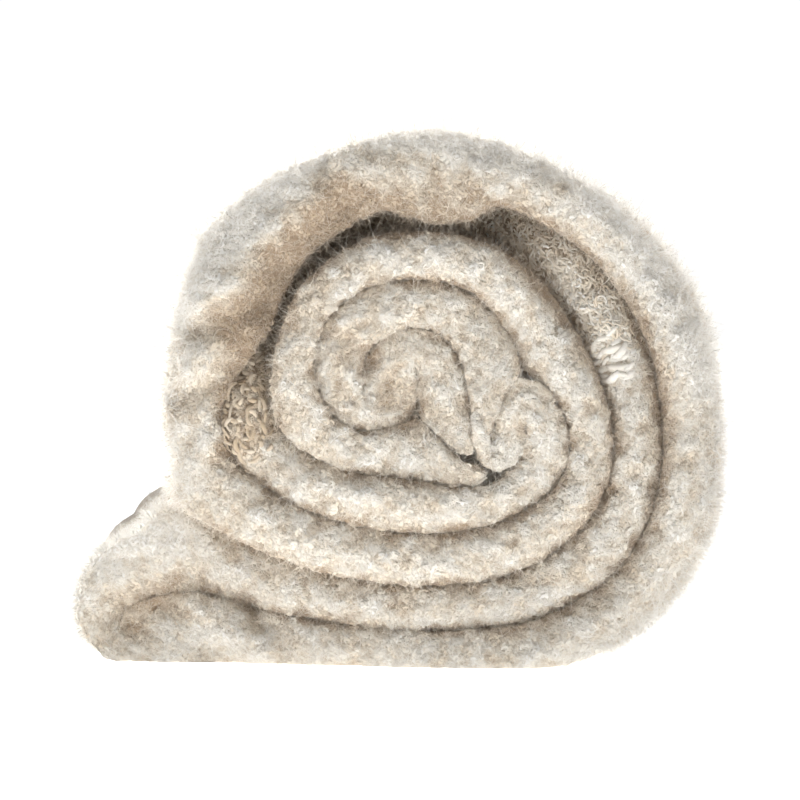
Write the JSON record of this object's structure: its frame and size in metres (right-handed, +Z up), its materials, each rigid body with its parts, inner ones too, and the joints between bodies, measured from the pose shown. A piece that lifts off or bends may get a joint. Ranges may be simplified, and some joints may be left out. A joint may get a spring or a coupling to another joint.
{
  "type": "rolled knit throw blanket",
  "caption": "Brushed, marled knit throw, folded lengthwise and crosswise and rolled up on its side, with the crosswise fold left out as a flat tail.",
  "frame": {"origin": "centre of the bounding box at floor level", "axes": "+Z up; the roll's axis runs along Y with the folded edge facing -Y; the flat tail lies towards -X"},
  "size_m": [0.2196, 0.65, 0.184],
  "materials": {
    "knit": "brushed marled yarn, matt, cream and oatmeal"
  },
  "bodies": {
    "root": {"throw_roll": "knit"}
  },
  "joints": []
}
